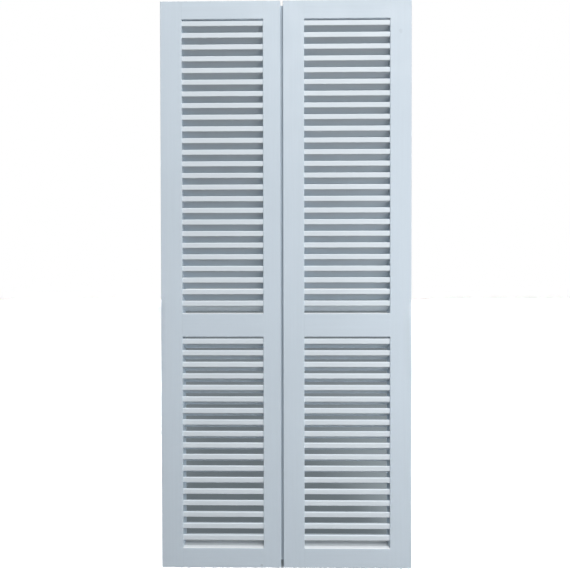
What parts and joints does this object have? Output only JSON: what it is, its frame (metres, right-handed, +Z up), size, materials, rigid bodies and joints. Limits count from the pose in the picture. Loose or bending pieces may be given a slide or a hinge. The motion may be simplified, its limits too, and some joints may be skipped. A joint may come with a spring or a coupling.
{
  "type": "louvred shutters",
  "caption": "White painted louvred shutter leaves with fixed sloping slats in stile-and-rail frames, hinged at their meeting edge to fold back on each other.",
  "frame": {"origin": "foot of the pair, in the middle of its width and of the leaves' thickness", "axes": "+X to the right seen from the front, +Y from the front face to the back, +Z up along the stiles"},
  "size_m": [0.6026, 0.043, 1.3649],
  "materials": {
    "frame_paint": "white satin paint on planed wood",
    "louvre_paint": "white satin paint on planed wood",
    "hinge_zinc": "zinc plated",
    "screw_zinc": "zinc plated"
  },
  "bodies": {
    "left_leaf": {"left_outer_stile": "frame_paint", "left_meeting_stile": "frame_paint", "left_top_rail": "frame_paint", "left_mid_rail": "frame_paint", "left_bottom_rail": "frame_paint", "left_upper_louvres": "louvre_paint", "left_lower_louvres": "louvre_paint", "meeting_tongue": "frame_paint", "lower_hinge_left_plate": "hinge_zinc", "middle_hinge_left_plate": "hinge_zinc", "upper_hinge_left_plate": "hinge_zinc", "lower_hinge_pin": "hinge_zinc", "middle_hinge_pin": "hinge_zinc", "upper_hinge_pin": "hinge_zinc", "left_hinge_screws": "screw_zinc"},
    "right_leaf": {"right_meeting_stile": "frame_paint", "right_outer_stile": "frame_paint", "right_top_rail": "frame_paint", "right_mid_rail": "frame_paint", "right_bottom_rail": "frame_paint", "right_upper_louvres": "louvre_paint", "right_lower_louvres": "louvre_paint", "lower_hinge_right_plate": "hinge_zinc", "middle_hinge_right_plate": "hinge_zinc", "upper_hinge_right_plate": "hinge_zinc", "right_hinge_screws": "screw_zinc"}
  },
  "joints": [
    {"name": "fold", "type": "hinge", "parent": "left_leaf", "child": "right_leaf", "pos_m": [-0.00975, 0.0215, 0.68244], "axis": [0, 0, 1], "range_deg": [0, 180]}
  ]
}
